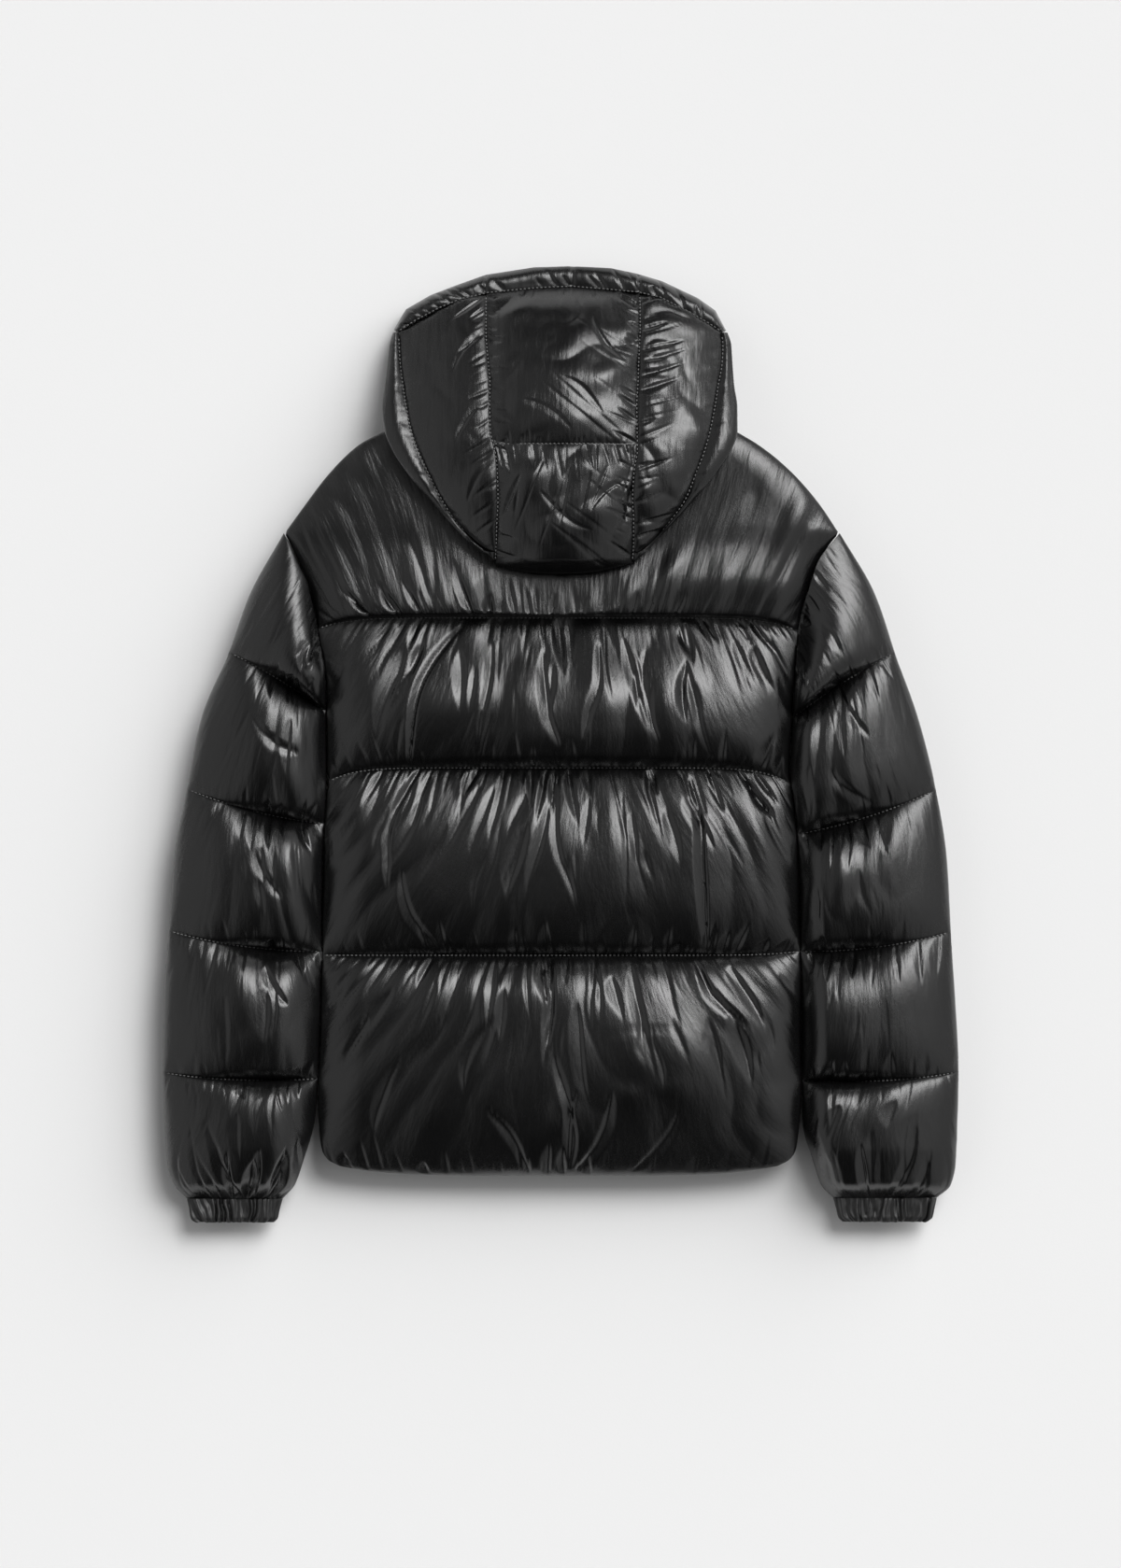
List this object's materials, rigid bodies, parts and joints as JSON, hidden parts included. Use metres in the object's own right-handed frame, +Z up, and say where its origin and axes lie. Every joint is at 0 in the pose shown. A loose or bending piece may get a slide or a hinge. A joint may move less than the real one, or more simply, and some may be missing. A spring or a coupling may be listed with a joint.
{
  "type": "puffer jacket",
  "caption": "Hooded puffer jacket with wide straight baffles, lying flat on its front with its back and hood up and its sleeves at its sides.",
  "frame": {"origin": "centre of the outline, on the surface that the jacket lies on", "axes": "+Y from the hem to the hood, +Z up from the jacket's front to its back, +X to the right seen from above"},
  "size_m": [0.764, 0.9207, 0.1035],
  "materials": {
    "shell_cloth": "glossy woven nylon",
    "cuff_cloth": "gathered woven nylon",
    "zip_chain": "satin",
    "slider_metal": "satin black"
  },
  "bodies": {
    "root": {"back": "shell_cloth", "front_left": "shell_cloth", "front_right": "shell_cloth", "sleeve_left": "shell_cloth", "sleeve_right": "shell_cloth", "cuff_left": "cuff_cloth", "cuff_right": "cuff_cloth", "hood_centre": "shell_cloth", "hood_side_left": "shell_cloth", "hood_side_right": "shell_cloth", "hood_edge_left": "shell_cloth", "hood_edge_right": "shell_cloth", "hood_brim": "shell_cloth", "zip": "zip_chain", "zip_slider": "slider_metal"}
  },
  "joints": []
}
